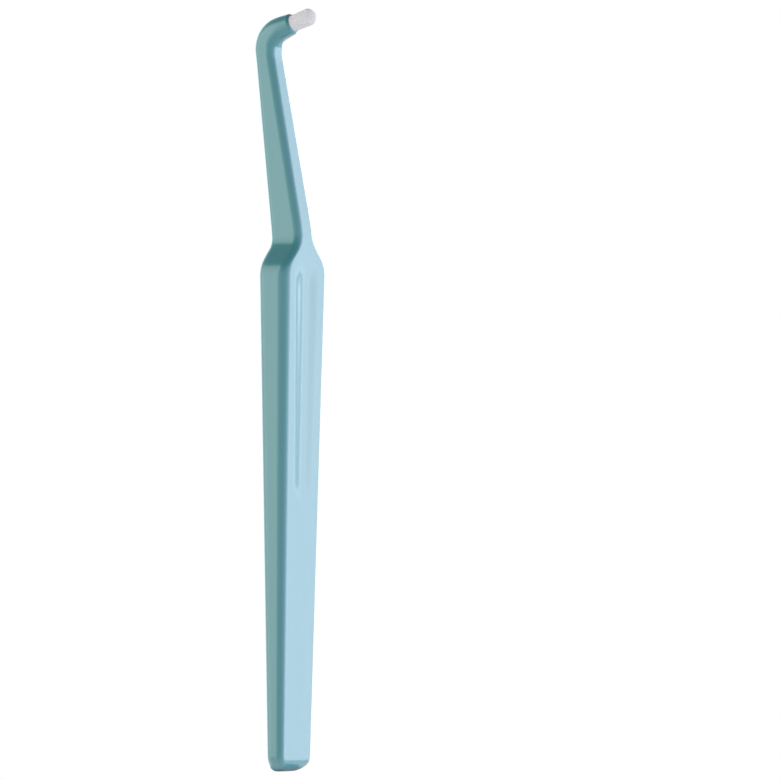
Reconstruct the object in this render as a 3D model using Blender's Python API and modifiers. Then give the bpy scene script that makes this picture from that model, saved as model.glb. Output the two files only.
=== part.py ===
# Single tuft toothbrush: a one piece handle, a metal anchor plate and one round tuft of bristles.
# Metres, +Z up along the handle. The origin is the centre of the flat end face at the butt of the grip.
# The front, with the thumb dish and the tuft, faces -Y, and the width runs along X.

import math

import bmesh
import bpy
from mathutils import Vector

MM = 0.001

# Grip, from the end face up to where the shoulder starts
GRIP_LENGTH = 106.5 * MM
BUTT_WIDTH = 11.6 * MM
SHOULDER_WIDTH = 16.0 * MM
BUTT_DEPTH = 4.6 * MM
SHOULDER_DEPTH = 7.9 * MM
BACK_TAPER = 0.45 * MM
END_FACE_WIDTH = 4.7 * MM
END_FACE_DEPTH = 1.0 * MM
BUTT_BACK_RADIUS = 0.8 * MM
BUTT_EDGE_RADIUS = 1.4 * MM
GRIP_FRONT_RADIUS = 2.2 * MM
GRIP_BACK_RADIUS = 2.2 * MM

# Thumb dish in the front of the grip
DISH_DEPTH = 0.525 * MM
DISH_TOP_RISE = 6.0 * MM
DISH_LENGTH = 55.5 * MM
DISH_TOP_FADE = 8.0 * MM
DISH_END_FADE = 6.0 * MM
DISH_TOP_SHARE = 0.92
DISH_END_SHARE = 0.77
DISH_FORM = 2.6

# Shoulder and neck
SHOULDER_RADIUS = 6.0 * MM
SHOULDER_SLOPE = math.radians(44.0)
NECK_FILLET = 5.0 * MM
NECK_ROOT_RISE = 8.7 * MM
NECK_LEAN = math.radians(9.1)
NAPE_RADIUS = 40.0 * MM
NECK_LENGTH = 44.55 * MM
NECK_ROOT_WIDTH = 5.8 * MM
NECK_TOP_WIDTH = 5.1 * MM
NECK_ROOT_DEPTH = 8.3 * MM
NECK_TOP_DEPTH = 4.8 * MM
NECK_ROOT_ROUND = 1.65 * MM
NECK_TOP_ROUND = 1.65 * MM

# Bend and head, with the bore for the tuft. Neck and head reach to the corner where their middle lines meet.
TUFT_TILT = math.radians(17.9)
BEND_INNER_RADIUS = 1.7 * MM
BEND_FRONT_GAIN = 1.75 * MM
HEAD_REACH = 7.75 * MM
HEAD_WALL = 0.84 * MM
HEAD_TAPER = 0.33 * MM
TAPER_LENGTH = 3.2 * MM
RIM_LENGTH = 0.4 * MM
RIM_SHARE = 0.88
BORE_DEPTH = 3.2 * MM
FIT_CLEARANCE = 0.1 * MM

# Tuft and its anchor plate
TUFT_ROOT_DIAMETER = 3.4 * MM
TUFT_TIP_DIAMETER = 3.9 * MM
TUFT_LENGTH = 5.8 * MM
TUFT_DOME = 1.3 * MM
STRAND_DIAMETER = 0.13 * MM
STRAND_COUNT = 320
STRAND_SIDES = 4
STRAND_ROOT = 0.3 * MM
ROOT_SINK = 0.7 * MM
ANCHOR_HEIGHT = 1.4 * MM
ANCHOR_THICKNESS = 0.3 * MM
ANCHOR_FLOOR = 0.5 * MM
ANCHOR_BITE_SHARE = 0.32

# Fineness of the meshes
FRONT_STEPS = 7
CORNER_STEPS = 5
SIDE_STEPS = 2
BACK_STEPS = 2
BUTT_STEPS = 6
SHOULDER_STEPS = 5
SLOPE_STEPS = 4
NAPE_STEPS = 4
NECK_STEPS = 6
BEND_STEPS = 11
FILLET_STEPS = 2
EASE_STEPS = 6
DISH_STEPS = 6
BORE_SIDES = 48
SMOOTH_LIMIT = math.radians(35.0)
MERGE = 0.001 * MM
EASE_SHARE = 0.45
RING_GAP_SHARE = 0.1
OVERRUN = 1.0 * MM

# Sizes that follow from the ones above
BORE_DIAMETER = TUFT_ROOT_DIAMETER + 2 * FIT_CLEARANCE
HEAD_DIAMETER = BORE_DIAMETER + 2 * HEAD_WALL
RIM_DROP = HEAD_WALL * RIM_SHARE
BEND_RADIUS = BEND_INNER_RADIUS + NECK_TOP_DEPTH / 2
BEND_TURN = NECK_LEAN + math.pi / 2 - TUFT_TILT
BEND_LENGTH = BEND_RADIUS * BEND_TURN
BEND_REACH = BEND_RADIUS * math.tan(BEND_TURN / 2)
BEND_FRONT_RADIUS = BEND_INNER_RADIUS + BEND_FRONT_GAIN
FILLET_REACH = BEND_FRONT_GAIN * math.tan(BEND_TURN / 2)
NAPE_REACH = NAPE_RADIUS * math.tan(NECK_LEAN / 2)
NAPE_LENGTH = NAPE_RADIUS * NECK_LEAN
NECK_ROOT = GRIP_LENGTH + NECK_ROOT_RISE
BUTT_SIDE_RADIUS = (BUTT_WIDTH - END_FACE_WIDTH) / 2
BUTT_FRONT_RADIUS = BUTT_DEPTH - END_FACE_DEPTH - BUTT_BACK_RADIUS
BUTT_BACK = SHOULDER_DEPTH / 2 - BACK_TAPER
BUTT_FRONT = BUTT_DEPTH - BUTT_BACK
SPINE_Y = BUTT_BACK_RADIUS + END_FACE_DEPTH / 2 - BUTT_BACK
DISH_TOP = GRIP_LENGTH + DISH_TOP_RISE
DISH_END = DISH_TOP - DISH_LENGTH
DISH_TOP_REACH = DISH_TOP_SHARE * (SHOULDER_WIDTH / 2 - GRIP_FRONT_RADIUS)
ANCHOR_LENGTH = BORE_DIAMETER + 2 * HEAD_WALL * ANCHOR_BITE_SHARE
ANCHOR_MIDDLE = ANCHOR_FLOOR + ANCHOR_HEIGHT / 2 - BORE_DEPTH

# The spine of the handle as runs of length and turn: grip, nape, neck, bend and head
SPINE_RUNS = [
    (NECK_ROOT - NAPE_REACH, 0.0),
    (NAPE_LENGTH, NECK_LEAN),
    (NECK_LENGTH - NAPE_REACH - BEND_REACH, 0.0),
    (BEND_LENGTH, -BEND_TURN),
    (HEAD_REACH - BEND_REACH, 0.0),
]
BEND_START = sum(length for length, turn in SPINE_RUNS[:3])
BEND_END = BEND_START + BEND_LENGTH
HANDLE_END = BEND_END + HEAD_REACH - BEND_REACH


def spine(along):
    """Y, Z and backward lean of the spine at a length along it from the end face."""
    y, z, lean = SPINE_Y, 0.0, 0.0
    for length, turn in SPINE_RUNS:
        part = min(along, length)
        if turn:
            radius = length / turn
            new_lean = lean + part / radius
            y += radius * (math.cos(lean) - math.cos(new_lean))
            z += radius * (math.sin(new_lean) - math.sin(lean))
            lean = new_lean
        else:
            y += part * math.sin(lean)
            z += part * math.cos(lean)
        along -= part
    return y, z, lean


def on_track(along, knots):
    """Value at a length along the spine, on straight runs between knots of length and value."""
    for (start, low), (end, high) in zip(knots, knots[1:]):
        if along <= end:
            break
    return low + (high - low) * (along - start) / (end - start)


def between(start, end, steps):
    return [start + (end - start) * step / steps for step in range(steps + 1)]


def eased(knots):
    """Knots whose inner corners are rounded off along parabolas."""
    smooth = [knots[0]]
    for (start, low), (corner, value), (end, high) in zip(knots, knots[1:], knots[2:]):
        reach = EASE_SHARE * min(corner - start, end - corner)
        before = value + (low - value) * reach / (corner - start)
        after = value + (high - value) * reach / (end - corner)
        for share in between(0.0, 1.0, EASE_STEPS):
            bent = (1 - share) ** 2 * before + 2 * share * (1 - share) * value + share ** 2 * after
            smooth.append((corner + reach * (2 * share - 1), bent))
    return smooth + [knots[-1]]


def smooth_step(share):
    share = min(max(share, 0.0), 1.0)
    return share * share * (3 - 2 * share)


def round_loss(distance, radius):
    """How far a rounded edge stands back from its wall, at a distance from the end."""
    if distance >= radius:
        return 0.0
    return radius - math.sqrt(radius ** 2 - (radius - distance) ** 2)


def shoulder_knots():
    """Half widths from the grip's full width round the shoulder and into the neck."""
    wide, narrow = SHOULDER_WIDTH / 2, NECK_ROOT_WIDTH / 2
    turn = 1 - math.cos(SHOULDER_SLOPE)
    fit = min(1.0, (wide - narrow) / (turn * (SHOULDER_RADIUS + NECK_FILLET)))
    outer, inner = SHOULDER_RADIUS * fit, NECK_FILLET * fit
    straight = (wide - narrow - turn * (outer + inner)) / math.tan(SHOULDER_SLOPE)
    end = GRIP_LENGTH + straight + (outer + inner) * math.sin(SHOULDER_SLOPE)
    angles = [SHOULDER_SLOPE * step / SHOULDER_STEPS for step in range(SHOULDER_STEPS + 1)]
    knots = [(GRIP_LENGTH + outer * math.sin(a), wide - outer * (1 - math.cos(a))) for a in angles]
    if straight > MERGE:
        knots.append((end - inner * math.sin(SHOULDER_SLOPE), narrow + inner * turn))
    knots += [(end - inner * math.sin(a), narrow + inner * (1 - math.cos(a))) for a in angles[-2::-1]]
    return knots


SHOULDER = shoulder_knots()
SHOULDER_END = SHOULDER[-1][0]
WIDTH_KNOTS = [(0.0, BUTT_WIDTH / 2), *SHOULDER, (BEND_START, NECK_TOP_WIDTH / 2),
               (BEND_END, HEAD_DIAMETER / 2), (HANDLE_END, HEAD_DIAMETER / 2)]
UPPER_DEPTHS = [(GRIP_LENGTH, SHOULDER_DEPTH / 2), (NECK_ROOT, NECK_ROOT_DEPTH / 2),
                (BEND_START, NECK_TOP_DEPTH / 2), (BEND_END, HEAD_DIAMETER / 2), (HANDLE_END, HEAD_DIAMETER / 2)]
FRONT_KNOTS = eased([(0.0, BUTT_FRONT), *UPPER_DEPTHS])
BACK_KNOTS = eased([(0.0, BUTT_BACK), *UPPER_DEPTHS])
UPPER_ROUNDS = [(SHOULDER_END, NECK_ROOT_ROUND), (BEND_START, NECK_TOP_ROUND),
                (BEND_END, HEAD_DIAMETER / 2), (HANDLE_END, HEAD_DIAMETER / 2)]
FRONT_ROUNDS = [(0.0, BUTT_EDGE_RADIUS), (GRIP_LENGTH, GRIP_FRONT_RADIUS), *UPPER_ROUNDS]
BACK_ROUNDS = [(0.0, GRIP_BACK_RADIUS), (GRIP_LENGTH, GRIP_BACK_RADIUS), *UPPER_ROUNDS]
RIM_KNOTS = eased([(0.0, 0.0), (HANDLE_END - TAPER_LENGTH, 0.0), (HANDLE_END - RIM_LENGTH, HEAD_TAPER),
                   (HANDLE_END, RIM_DROP)])


def dish(along, x, flat):
    """Depth of the thumb dish, which narrows downwards, fades at the shoulder and ends below in a U.

    It is shallower where it is narrower, so that its middle keeps one curve all along.
    """
    if not DISH_END < along < DISH_TOP:
        return 0.0
    rise = min((along - DISH_END) / DISH_END_FADE, 1.0)
    narrowing = (DISH_TOP_SHARE - DISH_END_SHARE) * (GRIP_LENGTH - along) / (GRIP_LENGTH - DISH_END)
    side = (DISH_TOP_SHARE - max(narrowing, 0.0)) * flat
    reach = side * math.sqrt(1 - (1 - rise) ** 2)
    if x >= reach:
        return 0.0
    fade = smooth_step((DISH_TOP - along) / DISH_TOP_FADE) * smooth_step(rise)
    return DISH_DEPTH * (side / DISH_TOP_REACH) ** 2 * fade * (1 - (x / reach) ** 2) ** DISH_FORM


def fillet(along):
    """Extra depth in front where one round joins neck and head, wider than the inside of the bend."""
    past = max(BEND_START - along, along - BEND_END)
    if past >= FILLET_REACH:
        return 0.0
    if past > 0:
        return round_loss(past + BEND_FRONT_RADIUS - FILLET_REACH, BEND_FRONT_RADIUS)
    angle = BEND_TURN * ((along - BEND_START) / BEND_LENGTH - 0.5)
    offset = BEND_FRONT_GAIN / math.cos(BEND_TURN / 2)
    chord = math.sqrt(BEND_FRONT_RADIUS ** 2 - (offset * math.sin(angle)) ** 2)
    return BEND_INNER_RADIUS + offset * math.cos(angle) - chord


def half_section(along):
    """Half of a section as x and depth, from the middle of the front to the middle of the back."""
    rim = on_track(along, RIM_KNOTS)
    half = on_track(along, WIDTH_KNOTS) - round_loss(along, BUTT_SIDE_RADIUS) - rim
    front = on_track(along, FRONT_KNOTS) + fillet(along) - round_loss(along, BUTT_FRONT_RADIUS) - rim
    back = on_track(along, BACK_KNOTS) - round_loss(along, BUTT_BACK_RADIUS) - rim
    most = min(half, (front + back) / 2)
    front_round = min(on_track(along, FRONT_ROUNDS), most)
    back_round = min(on_track(along, BACK_ROUNDS), most)
    flat = half - front_round
    runs = [
        (flat, FRONT_STEPS),
        (front_round * math.pi / 2, CORNER_STEPS),
        (front + back - front_round - back_round, SIDE_STEPS),
        (back_round * math.pi / 2, CORNER_STEPS),
        (half - back_round, BACK_STEPS),
    ]
    starts = [sum(length for length, steps in runs[:run]) for run in range(len(runs) + 1)]
    own = [start + length * step / steps for start, (length, steps) in zip(starts, runs) for step in range(steps)]
    own.append(starts[-1])
    even_share = smooth_step((along - GRIP_LENGTH) / (SHOULDER_END - GRIP_LENGTH))
    points = []
    for index, distance in enumerate(own):
        even = starts[-1] * index / (len(own) - 1)
        distance += (even - distance) * even_share
        if distance <= starts[1]:
            x, depth = distance, dish(along, distance, flat) - front
        elif distance < starts[2]:
            angle = (distance - starts[1]) / front_round
            x = flat + front_round * math.sin(angle)
            depth = front_round * (1 - math.cos(angle)) - front
        elif distance <= starts[3]:
            x, depth = half, distance - starts[2] + front_round - front
        elif distance < starts[4]:
            angle = (distance - starts[3]) / back_round
            x = half - back_round * (1 - math.cos(angle))
            depth = back - back_round * (1 - math.sin(angle))
        else:
            x, depth = max(starts[5] - distance, 0.0), back
        points.append((x, depth))
    points[0] = (0.0, points[0][1])
    points[-1] = (0.0, points[-1][1])
    return points


def ring_places():
    """Lengths along the spine at which the handle has a section."""
    butt_round = max(BUTT_SIDE_RADIUS, BUTT_FRONT_RADIUS, BUTT_BACK_RADIUS)
    quarter = between(0.0, math.pi / 2, BUTT_STEPS)
    places = [butt_round * (1 - math.cos(angle)) for angle in quarter]
    places += [DISH_END + DISH_END_FADE * (1 - math.cos(angle)) for angle in quarter]
    places += between(DISH_END + DISH_END_FADE, GRIP_LENGTH, DISH_STEPS)
    places += [knot for knot, half in SHOULDER]
    places += between(SHOULDER[SHOULDER_STEPS][0], SHOULDER[-SHOULDER_STEPS - 1][0], SLOPE_STEPS)
    places += between(NECK_ROOT - NAPE_REACH, NECK_ROOT - NAPE_REACH + NAPE_LENGTH, NAPE_STEPS)
    places += between(SHOULDER_END, BEND_START - FILLET_REACH, NECK_STEPS)
    places += between(BEND_START - FILLET_REACH, BEND_START, FILLET_STEPS)
    places += between(BEND_START, BEND_END, BEND_STEPS)
    places += between(BEND_END, BEND_END + FILLET_REACH, FILLET_STEPS)
    places += [knot for knot, loss in RIM_KNOTS if knot > HANDLE_END - TAPER_LENGTH / 2]
    ordered = sorted(place for place in places if 0.0 <= place <= HANDLE_END)
    apart = RIM_DROP * RING_GAP_SHARE
    kept = [ordered[0]]
    for place in ordered[1:-1]:
        if place - kept[-1] > apart and ordered[-1] - place > apart / 2:
            kept.append(place)
    return kept + [ordered[-1]]


def new_object(name, mesh, collection, material=None):
    thing = bpy.data.objects.new(name, mesh)
    collection.objects.link(thing)
    if material:
        mesh.materials.append(material)
    return thing


def mesh_from(name, bm):
    bmesh.ops.recalc_face_normals(bm, faces=bm.faces)
    mesh = bpy.data.meshes.new(name)
    bm.to_mesh(mesh)
    bm.free()
    return mesh


def principled(name, color, roughness, metallic=0.0):
    material = bpy.data.materials.new(name)
    material.use_nodes = True
    shader = material.node_tree.nodes["Principled BSDF"]
    shader.inputs["Base Color"].default_value = (*color, 1.0)
    shader.inputs["Roughness"].default_value = roughness
    shader.inputs["Metallic"].default_value = metallic
    material.diffuse_color = (*color, 1.0)
    return material


def boolean(thing, cutter, operation):
    modifier = thing.modifiers.new(operation.title(), "BOOLEAN")
    modifier.operation = operation
    modifier.solver = "EXACT"
    modifier.object = cutter


def as_cutter(thing):
    thing.hide_render = True
    thing.display_type = "WIRE"
    return thing


def make_handle(collection, material):
    """Right half of the handle, lofted from section to section and closed by a mirror."""
    bm = bmesh.new()
    rings = []
    for along in ring_places():
        y, z, lean = spine(along)
        across = Vector((0.0, math.cos(lean), -math.sin(lean)))
        rings.append([bm.verts.new(Vector((x, y, z)) + across * depth) for x, depth in half_section(along)])
    for lower, upper in zip(rings, rings[1:]):
        for index in range(len(lower) - 1):
            bm.faces.new((lower[index], lower[index + 1], upper[index + 1], upper[index]))
    bm.faces.new(rings[0][::-1])
    bm.faces.new(rings[-1])
    mesh = bpy.data.meshes.new("handle")
    bm.to_mesh(mesh)
    bm.free()
    mesh.shade_smooth()
    mesh.set_sharp_from_angle(angle=SMOOTH_LIMIT)
    handle = new_object("handle", mesh, collection, material)
    mirror = handle.modifiers.new("Mirror", "MIRROR")
    mirror.use_axis[0] = True
    mirror.use_clip = True
    mirror.merge_threshold = MERGE
    return handle


def make_cylinder(name, diameter, bottom, top, collection, material=None):
    """Cylinder along the local Z axis, from one height to another."""
    bm = bmesh.new()
    bmesh.ops.create_cone(bm, cap_ends=True, segments=BORE_SIDES, radius1=diameter / 2,
                          radius2=diameter / 2, depth=top - bottom)
    bmesh.ops.translate(bm, verts=bm.verts, vec=(0.0, 0.0, (top + bottom) / 2))
    mesh = mesh_from(name, bm)
    mesh.shade_smooth()
    mesh.set_sharp_from_angle(angle=SMOOTH_LIMIT)
    return new_object(name, mesh, collection, material)


def make_plate(name, length, thickness, height, collection, material=None):
    """Flat plate across the bore at the anchor's height."""
    bm = bmesh.new()
    bmesh.ops.create_cube(bm, size=1.0)
    bmesh.ops.scale(bm, verts=bm.verts, vec=(length, thickness, height))
    plate = new_object(name, mesh_from(name, bm), collection, material)
    plate.location.z = ANCHOR_MIDDLE
    return plate


def make_strands(name, collection):
    """Strands on a sunflower spiral, spread evenly towards their tips and trimmed to a dome."""
    bm = bmesh.new()
    field = (TUFT_ROOT_DIAMETER - STRAND_DIAMETER) / 2
    spread = TUFT_TIP_DIAMETER / TUFT_ROOT_DIAMETER
    golden = math.pi * (3 - math.sqrt(5))
    root = -ROOT_SINK - STRAND_ROOT
    for index in range(STRAND_COUNT):
        share = math.sqrt((index + 0.5) / STRAND_COUNT)
        outward = Vector((math.cos(index * golden), math.sin(index * golden), 0.0)) * field * share
        foot = outward + Vector((0.0, 0.0, root))
        tip = outward * spread + Vector((0.0, 0.0, TUFT_LENGTH - TUFT_DOME * share ** 2))
        reach = tip - foot
        turn = Vector((0.0, 0.0, 1.0)).rotation_difference(reach).to_matrix().to_4x4()
        turn.translation = (foot + tip) / 2
        bmesh.ops.create_cone(bm, cap_ends=True, segments=STRAND_SIDES, radius1=STRAND_DIAMETER / 2,
                              radius2=STRAND_DIAMETER / 2, depth=reach.length, matrix=turn)
    return new_object(name, mesh_from(name, bm), collection)


def main():
    for thing in list(bpy.data.objects):
        bpy.data.objects.remove(thing, do_unlink=True)
    brush = bpy.data.collections.new("single_tuft_toothbrush")
    cutters = bpy.data.collections.new("cutters")
    for collection in (brush, cutters):
        bpy.context.scene.collection.children.link(collection)
    plastic = principled("pearl_blue_plastic", (0.28, 0.52, 0.57), 0.32)
    steel = principled("anchor_metal", (0.72, 0.66, 0.5), 0.3, metallic=1.0)
    nylon = principled("white_nylon", (0.82, 0.82, 0.86), 0.45)

    # The seat is the centre of the head's end face, with Z out along the tuft
    y, z, lean = spine(HANDLE_END)
    seat = bpy.data.objects.new("head_seat", None)
    brush.objects.link(seat)
    seat.empty_display_size = HEAD_DIAMETER
    seat.location = (0.0, y, z)
    seat.rotation_euler = (-lean, 0.0, 0.0)

    handle = make_handle(brush, plastic)
    bore = make_cylinder("bore_cutter", BORE_DIAMETER, -BORE_DEPTH, OVERRUN, cutters)
    room = make_plate("anchor_room_cutter", ANCHOR_LENGTH + 2 * FIT_CLEARANCE,
                      ANCHOR_THICKNESS + 2 * FIT_CLEARANCE, ANCHOR_HEIGHT + 2 * FIT_CLEARANCE, cutters)
    strands = make_strands("strand_joiner", cutters)
    anchor = make_plate("tuft_anchor", ANCHOR_LENGTH, ANCHOR_THICKNESS, ANCHOR_HEIGHT, brush, steel)
    tuft = make_cylinder("bristle_tuft", TUFT_ROOT_DIAMETER, FIT_CLEARANCE - BORE_DEPTH, -ROOT_SINK, brush, nylon)
    for cutter in (bore, room, strands):
        as_cutter(cutter)
    for piece in (bore, room, strands, anchor, tuft):
        piece.parent = seat

    boolean(handle, bore, "DIFFERENCE")
    boolean(handle, room, "DIFFERENCE")
    boolean(tuft, strands, "UNION")
    boolean(tuft, room, "DIFFERENCE")


main()
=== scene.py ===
# Single tuft toothbrush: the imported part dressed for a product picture
import math
import random

import bmesh
import bpy
from mathutils import Matrix, Vector


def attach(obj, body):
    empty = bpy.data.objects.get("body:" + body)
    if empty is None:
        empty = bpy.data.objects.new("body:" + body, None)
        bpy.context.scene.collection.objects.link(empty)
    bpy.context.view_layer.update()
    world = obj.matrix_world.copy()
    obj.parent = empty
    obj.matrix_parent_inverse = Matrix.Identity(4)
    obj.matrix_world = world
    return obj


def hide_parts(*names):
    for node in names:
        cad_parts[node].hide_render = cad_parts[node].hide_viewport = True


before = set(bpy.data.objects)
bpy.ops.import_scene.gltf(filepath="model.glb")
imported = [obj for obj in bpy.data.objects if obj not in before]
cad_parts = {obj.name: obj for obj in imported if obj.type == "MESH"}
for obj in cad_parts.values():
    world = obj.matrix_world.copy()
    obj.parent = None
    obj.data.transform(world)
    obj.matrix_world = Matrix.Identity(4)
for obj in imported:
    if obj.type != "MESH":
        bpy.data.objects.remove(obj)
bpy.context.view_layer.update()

mm = 0.001
print("frame loaded:", ", ".join(sorted(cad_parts)))


# What a user would change on the handle
handleLook = {
    "gripLength": 106.5 * mm,
    "buttWidth": 11.6 * mm,
    "shoulderWidth": 16.0 * mm,
    "buttDepth": 4.6 * mm,
    "shoulderDepth": 7.9 * mm,
    "backTaper": 0.45 * mm,
    "endFaceWidth": 4.7 * mm,
    "endFaceDepth": 1.0 * mm,
    "buttBackRadius": 0.8 * mm,
    "buttEdgeRadius": 1.4 * mm,
    "gripFrontRadius": 2.2 * mm,
    "gripBackRadius": 2.2 * mm,
    "dishDepth": 0.525 * mm,
    "dishTopRise": 6.0 * mm,
    "dishLength": 55.5 * mm,
    "dishTopFade": 8.0 * mm,
    "dishEndFade": 6.0 * mm,
    "dishTopShare": 0.92,
    "dishEndShare": 0.77,
    "dishForm": 2.6,
    "shoulderRadius": 6.0 * mm,
    "shoulderSlope": math.radians(44.0),
    "neckFillet": 5.0 * mm,
    "neckRootRise": 8.7 * mm,
    "neckLean": math.radians(9.1),
    "napeRadius": 40.0 * mm,
    "neckLength": 44.55 * mm,
    "neckRootWidth": 5.8 * mm,
    "neckTopWidth": 5.1 * mm,
    "neckRootDepth": 8.3 * mm,
    "neckTopDepth": 4.8 * mm,
    "neckRootRound": 1.65 * mm,
    "neckTopRound": 1.65 * mm,
    "tuftTilt": math.radians(17.9),
    "bendInnerRadius": 1.7 * mm,
    "bendFrontGain": 1.75 * mm,
    "headReach": 7.75 * mm,
    "headWall": 0.84 * mm,
    "headTaper": 0.33 * mm,
    "taperLength": 3.2 * mm,
    "rimLength": 0.4 * mm,
    "rimShare": 0.88,
    "mouthRadius": 0.06 * mm,
    "boreDepth": 3.2 * mm,
    "fitClearance": 0.1 * mm,
    # How finely the skin is made: steps round a section, then sections along each form
    "frontSteps": 30,
    "cornerSteps": 14,
    "sideSteps": 8,
    "backSteps": 12,
    "buttRings": 16,
    "dishEndRings": 22,
    "shoulderRings": 40,
    "shoulderArcSteps": 24,
    "bendRings": 40,
    "headRings": 16,
    "rimRings": 28,
    "mouthRings": 4,
    "boreRings": 3,
    "boreRingStart": 0.5 * mm,
    "ringGap": 1.1 * mm,
    "leastGap": 0.12 * mm,
    "leastEndGap": 0.004 * mm,
    "lastGap": 0.002 * mm,
    "fineButtShare": 0.3,  # share of the butt's round where the end gap counts
}


# Shape of the handle: a spine with a section at each length along it
class HandleShape:
    def __init__(self, look):
        for name, value in look.items():
            setattr(self, name, value)
        self.boreDiameter = tuftLook["rootDiameter"] + 2 * self.fitClearance
        self.headDiameter = self.boreDiameter + 2 * self.headWall
        bendRadius = self.bendInnerRadius + self.neckTopDepth / 2
        self.bendTurn = self.neckLean + math.pi / 2 - self.tuftTilt
        self.bendLength = bendRadius * self.bendTurn
        bendReach = bendRadius * math.tan(self.bendTurn / 2)
        self.bendFrontRadius = self.bendInnerRadius + self.bendFrontGain
        self.filletReach = self.bendFrontGain * math.tan(self.bendTurn / 2)
        napeReach = self.napeRadius * math.tan(self.neckLean / 2)
        napeLength = self.napeRadius * self.neckLean
        self.neckRoot = self.gripLength + self.neckRootRise
        self.buttSideRadius = (self.buttWidth - self.endFaceWidth) / 2
        self.buttFrontRadius = self.buttDepth - self.endFaceDepth - self.buttBackRadius
        buttBack = self.shoulderDepth / 2 - self.backTaper
        buttFront = self.buttDepth - buttBack
        self.spineY = self.buttBackRadius + self.endFaceDepth / 2 - buttBack
        self.dishTop = self.gripLength + self.dishTopRise
        self.dishEnd = self.dishTop - self.dishLength
        self.dishTopReach = self.dishTopShare * (self.shoulderWidth / 2 - self.gripFrontRadius)
        self.spineRuns = [
            (self.neckRoot - napeReach, 0.0),
            (napeLength, self.neckLean),
            (self.neckLength - napeReach - bendReach, 0.0),
            (self.bendLength, -self.bendTurn),
            (self.headReach - bendReach, 0.0),
        ]
        self.bendStart = sum(length for length, turn in self.spineRuns[:3])
        self.bendEnd = self.bendStart + self.bendLength
        self.handleEnd = self.bendEnd + self.headReach - bendReach
        self.rimKnots = eased([(0.0, 0.0), (self.handleEnd - self.taperLength, 0.0),
                               (self.handleEnd - self.rimLength, self.headTaper),
                               (self.handleEnd, self.headWall * self.rimShare)])
        shoulder = self.shoulderKnots()
        self.shoulderEnd = shoulder[-1][0]
        headHalf = self.headDiameter / 2
        head = [(self.bendEnd, headHalf), (self.handleEnd, headHalf)]
        neckTop = (self.bendStart, self.neckTopWidth / 2)
        self.widthKnots = [(0.0, self.buttWidth / 2), *shoulder, neckTop, *head]
        upper = [(self.gripLength, self.shoulderDepth / 2), (self.neckRoot, self.neckRootDepth / 2),
                 (self.bendStart, self.neckTopDepth / 2), *head]
        self.frontKnots = eased([(0.0, buttFront), *upper])
        self.backKnots = eased([(0.0, buttBack), *upper])
        rounds = [(self.shoulderEnd, self.neckRootRound), (self.bendStart, self.neckTopRound), *head]
        self.frontRounds = [(0.0, self.buttEdgeRadius), (self.gripLength, self.gripFrontRadius), *rounds]
        self.backRounds = [(0.0, self.gripBackRadius), (self.gripLength, self.gripBackRadius), *rounds]

    # Half widths where the grip curves in to the neck: outer arc, straight, inner arc
    def shoulderKnots(self):
        wide, narrow = self.shoulderWidth / 2, self.neckRootWidth / 2
        turn = 1 - math.cos(self.shoulderSlope)
        outer, inner = self.shoulderRadius, self.neckFillet
        straight = (wide - narrow - turn * (outer + inner)) / math.tan(self.shoulderSlope)
        end = self.gripLength + straight + (outer + inner) * math.sin(self.shoulderSlope)
        angles = between(0.0, self.shoulderSlope, self.shoulderArcSteps)
        knots = [(self.gripLength + outer * math.sin(a), wide - outer * (1 - math.cos(a))) for a in angles]
        knots.append((end - inner * math.sin(self.shoulderSlope), narrow + inner * turn))
        knots += [(end - inner * math.sin(a), narrow + inner * (1 - math.cos(a))) for a in angles[-2::-1]]
        return knots

    # Place and lean of the spine at a length along it
    def spine(self, along):
        y, z, lean = self.spineY, 0.0, 0.0
        for length, turn in self.spineRuns:
            part = min(along, length)
            if turn:
                radius = length / turn
                newLean = lean + part / radius
                y += radius * (math.cos(lean) - math.cos(newLean))
                z += radius * (math.sin(newLean) - math.sin(lean))
                lean = newLean
            else:
                y += part * math.sin(lean)
                z += part * math.cos(lean)
            along -= part
        return y, z, lean

    # The dish is shallower where it is narrower, so that its middle keeps one curve all along
    def dish(self, along, x, flat):
        if not self.dishEnd < along < self.dishTop:
            return 0.0
        rise = min((along - self.dishEnd) / self.dishEndFade, 1.0)
        below = max(self.gripLength - along, 0.0) / (self.gripLength - self.dishEnd)
        side = (self.dishTopShare - (self.dishTopShare - self.dishEndShare) * below) * flat
        reach = side * math.sqrt(1 - (1 - rise) ** 2)
        if x >= reach:
            return 0.0
        fade = smoothStep((self.dishTop - along) / self.dishTopFade) * smoothStep(rise)
        depth = self.dishDepth * (side / self.dishTopReach) ** 2 * fade
        return depth * (1 - (x / reach) ** 2) ** self.dishForm

    # Extra depth in front where one round joins neck and head, wider than the inside of the bend
    def fillet(self, along):
        past = max(self.bendStart - along, along - self.bendEnd)
        if past >= self.filletReach:
            return 0.0
        if past > 0:
            return roundLoss(past + self.bendFrontRadius - self.filletReach, self.bendFrontRadius)
        angle = self.bendTurn * ((along - self.bendStart) / self.bendLength - 0.5)
        offset = self.bendFrontGain / math.cos(self.bendTurn / 2)
        chord = math.sqrt(self.bendFrontRadius ** 2 - (offset * math.sin(angle)) ** 2)
        return self.bendInnerRadius + offset * math.cos(angle) - chord

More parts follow.
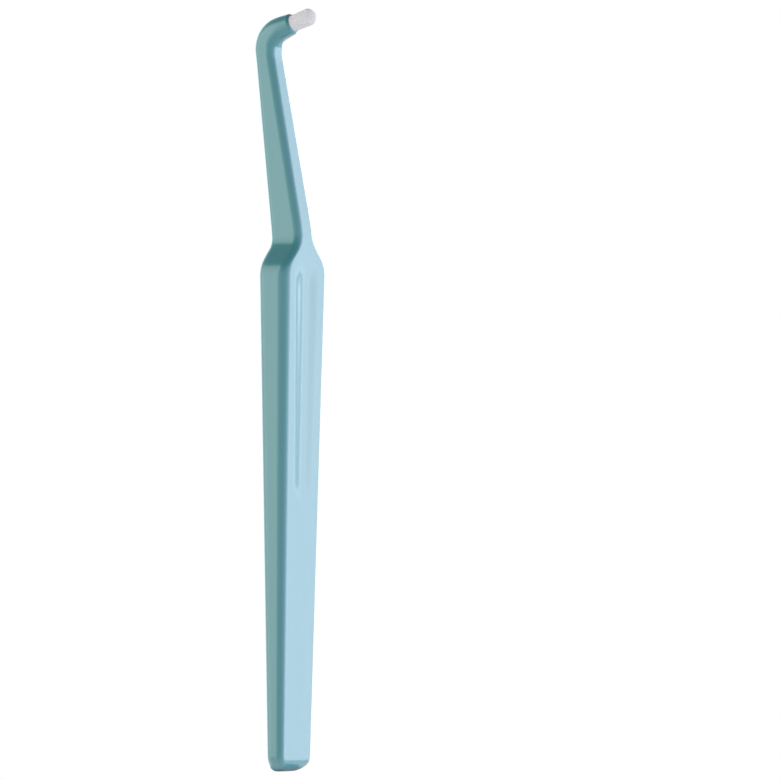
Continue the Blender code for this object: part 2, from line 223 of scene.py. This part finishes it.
    # Half of a section, from the middle of the front round to the middle of the back
    def halfSection(self, along):
        rim = onTrack(along, self.rimKnots)
        half = onTrack(along, self.widthKnots) - roundLoss(along, self.buttSideRadius) - rim
        front = onTrack(along, self.frontKnots) + self.fillet(along)
        front -= roundLoss(along, self.buttFrontRadius) + rim
        back = onTrack(along, self.backKnots) - roundLoss(along, self.buttBackRadius) - rim
        most = min(half, (front + back) / 2)
        frontRound = min(onTrack(along, self.frontRounds), most)
        backRound = min(onTrack(along, self.backRounds), most)
        flat = half - frontRound
        runs = [
            (flat, self.frontSteps),
            (frontRound * math.pi / 2, self.cornerSteps),
            (front + back - frontRound - backRound, self.sideSteps),
            (backRound * math.pi / 2, self.cornerSteps),
            (half - backRound, self.backSteps),
        ]
        starts = [sum(length for length, steps in runs[:run]) for run in range(len(runs) + 1)]
        # Distances round the section, its own at the grip and evenly spaced from the neck on
        own = []
        for start, (length, steps) in zip(starts, runs):
            own += [start + length * step / steps for step in range(steps)]
        own.append(starts[-1])
        evenShare = smoothStep((along - self.gripLength) / (self.shoulderEnd - self.gripLength))
        points = []
        for index, distance in enumerate(own):
            even = starts[-1] * index / (len(own) - 1)
            distance += (even - distance) * evenShare
            if distance <= starts[1]:
                x, depth = distance, self.dish(along, distance, flat) - front
            elif distance < starts[2]:
                angle = (distance - starts[1]) / frontRound
                x = flat + frontRound * math.sin(angle)
                depth = frontRound * (1 - math.cos(angle)) - front
            elif distance <= starts[3]:
                x, depth = half, distance - starts[2] + frontRound - front
            elif distance < starts[4]:
                angle = (distance - starts[3]) / backRound
                x = half - backRound * (1 - math.cos(angle))
                depth = back - backRound * (1 - math.sin(angle))
            else:
                x, depth = max(starts[5] - distance, 0.0), back
            points.append((x, depth))
        points[0] = (0.0, points[0][1])
        points[-1] = (0.0, points[-1][1])
        return points

    # Lengths at which a section is made, closer together where the form turns
    def ringPlaces(self):
        buttRound = max(self.buttSideRadius, self.buttFrontRadius, self.buttBackRadius)
        rimStart = self.handleEnd - 2 * self.rimLength
        neckStraight = self.bendStart - self.shoulderEnd
        places = [buttRound * fine for fine in fineStart(self.buttRings)]
        places += [self.dishEnd + self.dishEndFade * fine for fine in fineStart(self.dishEndRings)]
        places += between(0.0, self.gripLength, round(self.gripLength / self.ringGap))
        places += [knot for knot, half in self.widthKnots if self.gripLength <= knot <= self.shoulderEnd]
        places += between(self.gripLength, self.shoulderEnd, self.shoulderRings)
        places += between(self.shoulderEnd, self.bendStart, round(neckStraight / self.ringGap))
        places += between(self.bendStart, self.bendEnd, self.bendRings)
        places += between(self.bendEnd, self.handleEnd, self.headRings)
        places += between(rimStart, self.handleEnd, self.rimRings)
        ordered = sorted(place for place in places if 0.0 <= place <= self.handleEnd)
        kept = [ordered[0]]
        for place in ordered[1:-1]:
            nearEnd = place < buttRound * self.fineButtShare or place > rimStart
            apart = self.leastEndGap if nearEnd else self.leastGap
            if place - kept[-1] > apart and ordered[-1] - place > self.lastGap:
                kept.append(place)
        return kept + [ordered[-1]]


def between(start, end, steps):
    return [start + (end - start) * step / steps for step in range(steps + 1)]


# From 0 to 1, close together at first as on a quarter round
def fineStart(steps):
    return [1 - math.cos(a) for a in between(0.0, math.pi / 2, steps)]


easeShare = 0.45
easeSteps = 12


# Knots whose inner corners are rounded off along parabolas
def eased(knots):
    smooth = [knots[0]]
    for (start, low), (corner, value), (end, high) in zip(knots, knots[1:], knots[2:]):
        reach = easeShare * min(corner - start, end - corner)
        before = value + (low - value) * reach / (corner - start)
        after = value + (high - value) * reach / (end - corner)
        for share in between(0.0, 1.0, easeSteps):
            bent = (1 - share) ** 2 * before + 2 * share * (1 - share) * value + share ** 2 * after
            smooth.append((corner + reach * (2 * share - 1), bent))
    return smooth + [knots[-1]]


def smoothStep(share):
    share = min(max(share, 0.0), 1.0)
    return share * share * (3 - 2 * share)


# How much a round of this radius takes off, at a distance from where it starts
def roundLoss(distance, radius):
    if distance >= radius:
        return 0.0
    return radius - math.sqrt(max(radius ** 2 - (radius - distance) ** 2, 0.0))


# Height of a line of knots at a place along it
def onTrack(along, knots):
    for (start, low), (end, high) in zip(knots, knots[1:]):
        if along <= end:
            break
    return low + (high - low) * (along - start) / (end - start)


def addObject(name, bm, material):
    bmesh.ops.recalc_face_normals(bm, faces=bm.faces)
    mesh = bpy.data.meshes.new(name)
    bm.to_mesh(mesh)
    bm.free()
    mesh.shade_smooth()
    mesh.materials.append(material)
    thing = bpy.data.objects.new(name, mesh)
    bpy.context.scene.collection.objects.link(thing)
    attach(thing, "root")
    return thing


# Faces between rings that follow each other, and one across each end
def skinRings(bm, rings):
    for lower, upper in zip(rings, rings[1:]):
        for index in range(len(lower)):
            after = (index + 1) % len(lower)
            bm.faces.new((lower[index], lower[after], upper[after], upper[index]))
    bm.faces.new(rings[0][::-1])
    bm.faces.new(rings[-1])


# Skin of the handle, closed at the butt, with the blind bore let into the head
def makeHandleBody(material):
    shape = HandleShape(handleLook)
    bm = bmesh.new()
    rings = []
    for along in shape.ringPlaces():
        y, z, lean = shape.spine(along)
        across = Vector((0.0, math.cos(lean), -math.sin(lean)))
        half = [Vector((x, y, z)) + across * depth for x, depth in shape.halfSection(along)]
        whole = half + [Vector((-p.x, p.y, p.z)) for p in half[-2:0:-1]]
        rings.append([bm.verts.new(p) for p in whole])
    y, z, lean = shape.spine(shape.handleEnd)
    centre = Vector((0.0, y, z))
    outward = Vector((0.0, math.sin(lean), math.cos(lean)))
    spokes = [(vert.co - centre).normalized() for vert in rings[-1]]
    boreRadius, mouth = shape.boreDiameter / 2, shape.mouthRadius
    boreRings = [(boreRadius + mouth * (1 - math.sin(a)), -mouth * (1 - math.cos(a)))
                 for a in between(0.0, math.pi / 2, shape.mouthRings)]
    boreRings += [(boreRadius, -depth)
                  for depth in between(shape.boreRingStart, shape.boreDepth, shape.boreRings)]
    for radius, depth in boreRings:
        rings.append([bm.verts.new(centre + spoke * radius + outward * depth) for spoke in spokes])
    skinRings(bm, rings)
    body = addObject("handle_body", bm, material)
    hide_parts("handle")
    return body, shape


# What a user would change on the tuft, heights counted from the head's rim
tuftLook = {
    "rootDiameter": 3.4 * mm,
    "tipDiameter": 3.9 * mm,
    "length": 5.85 * mm,
    "dome": 1.3 * mm,
    "fieldDiameter": 3.56 * mm,  # circle that the filaments fill at the rim
    "filamentDiameter": 0.135 * mm,
    "filamentCount": 560,
    "sides": 7,
    "bowSteps": 4,
    "tipSteps": 3,
    "tipTurn": 1.25,  # radians of the round at a filament's end
    "cutScatter": 0.025 * mm,
    "tipScatter": 0.02 * mm,
    "bow": 0.05 * mm,  # most that an outer filament bends aside
    "anchorHalf": 0.15 * mm,
    "anchorGap": 0.02 * mm,
    "anchorTop": -1.3 * mm,
    "partedBelow": 0.3 * mm,
    "partedAbove": 0.2 * mm,
    "foot": -3.05 * mm,
    "seed": 7,
}


# Filaments on a sunflower spiral, parted round the anchor, spread and trimmed to a dome
def makeFilaments(shape, material):
    look = tuftLook
    y, z, lean = shape.spine(shape.handleEnd)
    seat = Matrix.Translation((0.0, y, z)) @ Matrix.Rotation(-lean, 4, "X")
    rng = random.Random(look["seed"])
    radius = look["filamentDiameter"] / 2
    field = look["fieldDiameter"] / 2 - radius
    spread = look["tipDiameter"] / look["fieldDiameter"] - 1
    partedFrom = look["anchorTop"] - look["partedBelow"]
    partedTo = look["anchorTop"] + look["partedAbove"]
    clear = look["anchorHalf"] + radius + look["anchorGap"]
    squeeze = 1 - clear / look["rootDiameter"] * 2
    golden = math.pi * (3 - math.sqrt(5))
    circle = [(math.cos(a), math.sin(a)) for a in between(0.0, 2 * math.pi, look["sides"])[:-1]]
    bm = bmesh.new()
    for index in range(look["filamentCount"]):
        share = math.sqrt((index + 0.5) / look["filamentCount"])
        angle = index * golden
        home = Vector((math.cos(angle), math.sin(angle))) * field * share
        top = look["length"] - look["dome"] * share ** 2 - abs(rng.gauss(0.0, look["cutScatter"]))
        drift = Vector((rng.gauss(0.0, look["tipScatter"]), rng.gauss(0.0, look["tipScatter"])))
        bowAngle = rng.uniform(0.0, 2 * math.pi)
        bow = Vector((math.cos(bowAngle), math.sin(bowAngle))) * rng.uniform(0.0, look["bow"]) * share
        heights = [look["foot"], partedFrom, partedTo, *between(0.0, top, look["bowSteps"])[:-1]]
        stations = [(height, radius) for height in heights]
        stations += [(top - radius * (1 - math.sin(a)), radius * math.cos(a))
                     for a in between(0.0, look["tipTurn"], look["tipSteps"])]
        rings = []
        for height, girth in stations:
            rise = max(height, 0.0) / look["length"]
            middle = home * (1 + spread * rise) + drift * rise ** 2 + bow * math.sin(math.pi * min(rise, 1.0))
            parted = math.copysign(clear + abs(middle.y) * squeeze, middle.y)
            middle.y += (parted - middle.y) * smoothStep((partedTo - height) / (partedTo - partedFrom))
            if middle.length > field and height < 0.0:
                middle *= field / middle.length
            rings.append([bm.verts.new(seat @ Vector((middle.x + girth * c, middle.y + girth * s, height)))
                          for c, s in circle])
        skinRings(bm, rings)
    tuft = addObject("tuft_filaments", bm, material)
    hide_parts("bristle_tuft")
    return tuft


# One socket with the sums that shader maths needs
class Wire:
    def __init__(self, tree, socket):
        self.tree, self.socket = tree, socket

    def math(self, operation, *others):
        values = dict(enumerate([self, *others]))
        return addNode(self.tree, "ShaderNodeMath", {"operation": operation}, values)

    def __add__(self, other):
        return self.math("ADD", other)

    def __sub__(self, other):
        return self.math("SUBTRACT", other)

    def __mul__(self, other):
        return self.math("MULTIPLY", other)

    def __rsub__(self, other):
        return addNode(self.tree, "ShaderNodeMath", {"operation": "SUBTRACT"}, {0: other, 1: self})

    __radd__ = __add__
    __rmul__ = __mul__


# Any node: its type, its settings, then the values or links of its sockets
def addNode(tree, kind, settings=None, sockets=None, output=0):
    node = tree.nodes.new(kind)
    for name, value in (settings or {}).items():
        if name == "stops":
            ramp = node.color_ramp
            while len(ramp.elements) < len(value):
                ramp.elements.new(0.5)
            for element, (place, color) in zip(ramp.elements, value):
                element.position, element.color = place, color
        else:
            setattr(node, name, value)
    for name, value in (sockets or {}).items():
        if isinstance(value, Wire):
            tree.links.new(value.socket, node.inputs[name])
        else:
            node.inputs[name].default_value = value
    return Wire(tree, node.outputs[output])


def startMaterial(name, constants):
    material = bpy.data.materials.new(name)
    material.use_nodes = True
    tree = material.node_tree
    shader = tree.nodes["Principled BSDF"]
    for socket, value in constants.items():
        shader.inputs[socket].default_value = value
    return material, tree, shader


def plug(shader, socket, wire):
    shader.id_data.links.new(wire.socket, shader.inputs[socket])


# Place on the object, for textures that move with it
def ownPlace(tree):
    return addNode(tree, "ShaderNodeTexCoord", output="Object")


def stretched(place, scale):
    return addNode(place.tree, "ShaderNodeMapping", {}, {"Vector": place, "Scale": scale})


def noise(place, scale, detail, **others):
    sockets = {"Vector": place, "Scale": scale, "Detail": detail, **others}
    return addNode(place.tree, "ShaderNodeTexNoise", {}, sockets)


# A colour mix has its colours on the unnamed sockets 6 and 7, and gives the result on output 2
def mixColors(share, low, high):
    return addNode(share.tree, "ShaderNodeMix", {"data_type": "RGBA"}, {0: share, 6: low, 7: high}, 2)


# Smooth change from one value to another while a wire goes between two limits
def smoothRange(wire, start, end, low=0.0, high=1.0):
    return addNode(wire.tree, "ShaderNodeMapRange", {"interpolation_type": "SMOOTHSTEP"}, {
        "Value": wire, "From Min": start, "From Max": end, "To Min": low, "To Max": high})


plasticLook = {
    "deep": (0.092, 0.422, 0.474, 1.0),
    "pale": (0.118, 0.478, 0.534, 1.0),
    "flowStretch": (2.2, 2.2, 0.22),
    "flowScale": 55.0,
    "flowRoughness": 0.55,
    "flowTwist": 0.8,
    "speckScale": 5200.0,
    "speckRelief": 0.12,
    "speckHeight": 0.01 * mm,
    "roughness": 0.24,
    "grain": 0.04,
}


# Pearl pigmented plastic with the faint flow streaks of its moulding
def pearlPlastic():
    look = plasticLook
    material, tree, shader = startMaterial("pearl_plastic", {
        "IOR": 1.55, "Coat Weight": 1.0, "Coat Roughness": 0.11, "Coat IOR": 1.6, "Specular IOR Level": 0.4,
    })
    place = ownPlace(tree)
    flow = noise(stretched(place, look["flowStretch"]), look["flowScale"], detail=4.0,
                 Roughness=look["flowRoughness"], Distortion=look["flowTwist"])
    speck = noise(place, look["speckScale"], detail=2.0)
    unevenness = (flow - 0.5) * look["grain"] + (speck - 0.5) * look["grain"]
    plug(shader, "Base Color", mixColors(flow, look["deep"], look["pale"]))
    plug(shader, "Roughness", look["roughness"] + unevenness)
    plug(shader, "Normal", addNode(tree, "ShaderNodeBump", {}, {
        "Strength": look["speckRelief"], "Distance": look["speckHeight"], "Height": speck}))
    return material


nylonLook = {
    "dull": (0.64, 0.635, 0.635, 1.0),
    "clear": (0.68, 0.675, 0.675, 1.0),
    "mottleScale": 900.0,
    "roughness": 0.7,
    # painted glow: the tuft gives off light of its own, though it is no lamp
    "glow": (0.93, 0.90, 0.97, 1.0),
    "paintedGlowStrength": 0.24,
}


# Matt nylon that light gets into, with a faint painted glow that brightens the whole tuft as if it were lit
# more
def whiteNylon():
    look = nylonLook
    material, tree, shader = startMaterial("white_nylon", {
        "Roughness": look["roughness"], "IOR": 1.53, "Subsurface Weight": 0.8, "Specular IOR Level": 0.25,
        "Subsurface Radius": (1.0, 0.95, 1.0), "Subsurface Scale": 0.2 * mm,
        "Emission Color": look["glow"], "Emission Strength": look["paintedGlowStrength"],
    })
    mottle = noise(ownPlace(tree), look["mottleScale"], detail=3.0)
    plug(shader, "Base Color", mixColors(mottle, look["dull"], look["clear"]))
    return material


brassLook = {
    "dark": (0.62, 0.54, 0.36, 1.0),
    "light": (0.76, 0.68, 0.49, 1.0),
    "rollStretch": (0.1, 1.0, 1.0),
    "rollScale": 9000.0,
    "roughness": 0.25,
    "roughnessGain": 0.2,
}


# Rolled strip, with its lines along the plate
def anchorBrass():
    look = brassLook
    material, tree, shader = startMaterial("anchor_brass", {"Metallic": 1.0})
    rolled = noise(stretched(ownPlace(tree), look["rollStretch"]), look["rollScale"], detail=3.0)
    plug(shader, "Base Color", mixColors(rolled, look["dark"], look["light"]))
    plug(shader, "Roughness", look["roughness"] + rolled * look["roughnessGain"])
    return material


handle, handleShape = makeHandleBody(pearlPlastic())
print("handle skin:", len(handle.data.polygons), "faces")
filaments = makeFilaments(handleShape, whiteNylon())
print("tuft:", tuftLook["filamentCount"], "filaments,", len(filaments.data.polygons), "faces")
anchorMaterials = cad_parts["tuft_anchor"].data.materials
anchorMaterials.clear()
anchorMaterials.append(anchorBrass())
print("anchor: brass")


# Camera: turned 54 degrees to the left of the front, level, with a long lens
cameraLook = {
    "azimuth": math.radians(-54.0),
    "lens": 500.0,
    "sensor": 36.0,
    "nearest": 0.01,
    "farthest": 100.0,
    "frameWidth": 168.56 * mm,
    "axisRight": 22.78 * mm,
    "axisHeight": 82.38 * mm,
}


def makeCamera():
    look = cameraLook
    camera = bpy.data.objects.new("camera", bpy.data.cameras.new("camera"))
    bpy.context.scene.collection.objects.link(camera)
    camera.data.lens = look["lens"]
    camera.data.sensor_width = look["sensor"]
    camera.data.clip_start, camera.data.clip_end = look["nearest"], look["farthest"]
    distance = look["frameWidth"] * look["lens"] / look["sensor"]
    right, back = viewAxes()
    camera.location = right * look["axisRight"] + Vector((0.0, 0.0, look["axisHeight"])) + back * distance
    camera.rotation_mode = "QUATERNION"
    camera.rotation_quaternion = (-back).to_track_quat("-Z", "Y")
    bpy.context.scene.camera = camera


# Toward the picture's right, and from the object toward the camera
def viewAxes():
    turn = cameraLook["azimuth"]
    return Vector((math.cos(turn), math.sin(turn), 0.0)), Vector((math.sin(turn), -math.cos(turn), 0.0))


# Lights: each has its colour at angles counted from the camera's side round to its right, sizes in metres
lightLook = {
    "key_panel": {"distance": 0.55, "height": 0.10, "tall": 0.70, "endShare": 0.2, "stops": [
        (30.0, (0.0, 0.0, 0.0)), (45.0, (0.20, 0.30, 0.46)), (58.0, (0.45, 0.60, 0.86)),
        (72.0, (1.12, 1.20, 1.55)), (86.0, (2.25, 2.18, 2.54)), (98.0, (2.60, 2.48, 2.80)),
        (108.0, (1.76, 1.76, 2.10)), (118.5, (1.76, 1.76, 2.10))]},
    "rear_panel": {"distance": 0.60, "height": 0.10, "tall": 0.70, "endShare": 0.2, "stops": [
        (124.0, (1.70, 1.84, 2.05)), (155.0, (1.60, 1.75, 1.95)), (170.0, (0.0, 0.0, 0.0))]},
    "fill_panel": {"distance": 0.55, "height": 0.25, "tall": 0.95, "endShare": 0.25, "stops": [
        (-110.0, (0.0, 0.0, 0.0)), (-98.0, (1.06, 1.10, 1.07)), (-72.0, (1.12, 1.18, 1.14)),
        (-64.0, (0.66, 0.82, 0.74)), (-55.0, (0.28, 0.42, 0.34)), (-40.0, (0.10, 0.18, 0.12)),
        (-26.0, (0.0, 0.0, 0.0))]},
}


def makeLights():
    right, back = viewAxes()
    for name, look in lightLook.items():
        first, last = look["stops"][0][0], look["stops"][-1][0]
        middle = (first + last) / 2
        turn = math.radians(middle)
        halfWide = math.tan(math.radians(last - first) / 2)
        toward = back * math.cos(turn) + right * math.sin(turn)
        data = bpy.data.lights.new(name, "AREA")
        data.shape = "RECTANGLE"
        data.size, data.size_y = 2 * look["distance"] * halfWide, look["tall"]
        brightest = max(max(color) for angle, color in look["stops"])
        data.energy = brightest * math.pi * data.size * data.size_y
        stops = [(0.5 + 0.5 * math.tan(math.radians(angle - middle)) / halfWide,
                  (*[level / brightest for level in color], 1.0)) for angle, color in look["stops"]]
        softenLight(data, stops, look["endShare"])
        lamp = bpy.data.objects.new(name, data)
        bpy.context.scene.collection.objects.link(lamp)
        lamp.location = toward * look["distance"] + Vector((0.0, 0.0, look["height"]))
        lamp.rotation_mode = "QUATERNION"
        lamp.rotation_quaternion = (-toward).to_track_quat("-Z", "Y")


# Softbox: colour stops across its width, and a fade to nothing at its top and bottom
def softenLight(data, stops, endShare):
    data.use_nodes = True
    tree = data.node_tree
    spot = addNode(tree, "ShaderNodeNewGeometry", output="Parametric")
    across = addNode(tree, "ShaderNodeSeparateXYZ", {}, {0: spot})
    upward = Wire(tree, across.socket.node.outputs["Y"])
    ramp = addNode(tree, "ShaderNodeValToRGB", {"stops": stops}, {0: across})
    fade = smoothRange((upward - 0.5).math("ABSOLUTE"), 0.5 - endShare, 0.5, 1.0, 0.0)
    color = addNode(tree, "ShaderNodeVectorMath", {"operation": "SCALE"}, {0: ramp, "Scale": fade})
    glow = addNode(tree, "ShaderNodeEmission", {}, {"Color": color, "Strength": 1.0})
    tree.links.new(glow.socket, tree.nodes["Light Output"].inputs[0])


stageLook = {
    "white": (1.0, 1.0, 1.0, 1.0),
    "ambient": 0.36,  # strength of the surround as a light
    "nearStrength": 0.85,  # as gloss shows it on the camera's side, then behind the object
    "farStrength": 1.0,
    "farFrom": 0.7,
    "topStrength": 0.25,  # share of all these that is left overhead
    "topStart": 0.15,
    "topEnd": 0.75,
    "floorColor": (0.9, 0.9, 0.9, 1.0),
    "floorRadius": 20.0 * mm,
    "floorSegments": 96,
    "fadeStart": 0.3,  # shares of the floor's radius
    "fadeEnd": 0.98,
    "floorLift": 0.80,
    "contactReach": 3.4 * mm,  # gloss shows a painted contact shadow: a darker floor right under the butt
    "openReach": 5.8 * mm,
    # glow that gloss sees right under the butt (painted contact shadow), then further out
    "paintedShadowLift": 0.1,
    "openLift": 1.0,
}


# One for rays from the camera, and one for rays off gloss or through glass
def rayKinds(tree):
    outputs = addNode(tree, "ShaderNodeLightPath").socket.node.outputs
    seen, gloss, glass = [Wire(tree, outputs[name])
                          for name in ("Is Camera Ray", "Is Glossy Ray", "Is Transmission Ray")]
    return seen, gloss.math("MAXIMUM", glass)


# White for the camera, and for light and gloss a surround that dims overhead and on the camera's side
def makeWorld():
    look = stageLook
    world = bpy.data.worlds.new("studio")
    bpy.context.scene.world = world
    world.use_nodes = True
    tree = world.node_tree
    way = addNode(tree, "ShaderNodeTexCoord", output="Generated")
    back = viewAxes()[1]
    behind, up = [addNode(tree, "ShaderNodeVectorMath", {"operation": "DOT_PRODUCT"}, {0: way, 1: axis},
                          "Value") for axis in (-back, (0.0, 0.0, 1.0))]
    side = smoothRange(behind, 0.0, look["farFrom"], look["nearStrength"], look["farStrength"])
    over = smoothRange(up, look["topStart"], look["topEnd"], 1.0, look["topStrength"])
    seen, shiny = rayKinds(tree)
    lit = over * (look["ambient"] + shiny * (side - look["ambient"]))
    background = tree.nodes["Background"]
    background.inputs["Color"].default_value = look["white"]
    tree.links.new(lit.math("MAXIMUM", seen).socket, background.inputs["Strength"])


# Pale round floor that keeps the shadow and fades into the white at its edge; gloss sees its glow cut right
# under the butt, a painted contact shadow
def makeFloor():
    look = stageLook
    material = bpy.data.materials.new("floor_white")
    material.use_nodes = True
    tree = material.node_tree
    tree.nodes.clear()
    reach = addNode(tree, "ShaderNodeVectorMath", {"operation": "LENGTH"}, {0: ownPlace(tree)}, "Value")
    edge = smoothRange(reach, look["floorRadius"] * look["fadeStart"], look["floorRadius"] * look["fadeEnd"])
    matt = addNode(tree, "ShaderNodeBsdfDiffuse", {}, {"Color": look["floorColor"]})
    seen, shiny = rayKinds(tree)
    # Painted contact shadow: the glow that gloss shows is low right under the butt and full further out
    glossLiftWithPaintedShade = smoothRange(reach, look["contactReach"], look["openReach"],
                            look["paintedShadowLift"], look["openLift"])
    lift = seen * look["floorLift"] + shiny * glossLiftWithPaintedShade
    glow = addNode(tree, "ShaderNodeEmission", {}, {"Strength": lift})
    lifted = addNode(tree, "ShaderNodeAddShader", {}, {0: matt, 1: glow})
    clear = addNode(tree, "ShaderNodeBsdfTransparent")
    surface = addNode(tree, "ShaderNodeMixShader", {}, {0: edge, 1: lifted, 2: clear})
    output = tree.nodes.new("ShaderNodeOutputMaterial")
    tree.links.new(surface.socket, output.inputs["Surface"])
    bm = bmesh.new()
    bmesh.ops.create_circle(bm, cap_ends=True, segments=look["floorSegments"], radius=look["floorRadius"])
    mesh = bpy.data.meshes.new("floor")
    bm.to_mesh(mesh)
    bm.free()
    mesh.materials.append(material)
    floor = bpy.data.objects.new("floor", mesh)
    bpy.context.scene.collection.objects.link(floor)


makeCamera()
makeLights()
makeWorld()
makeFloor()
bpy.context.scene.view_settings.view_transform = "Standard"
print("camera, lights and floor are set")
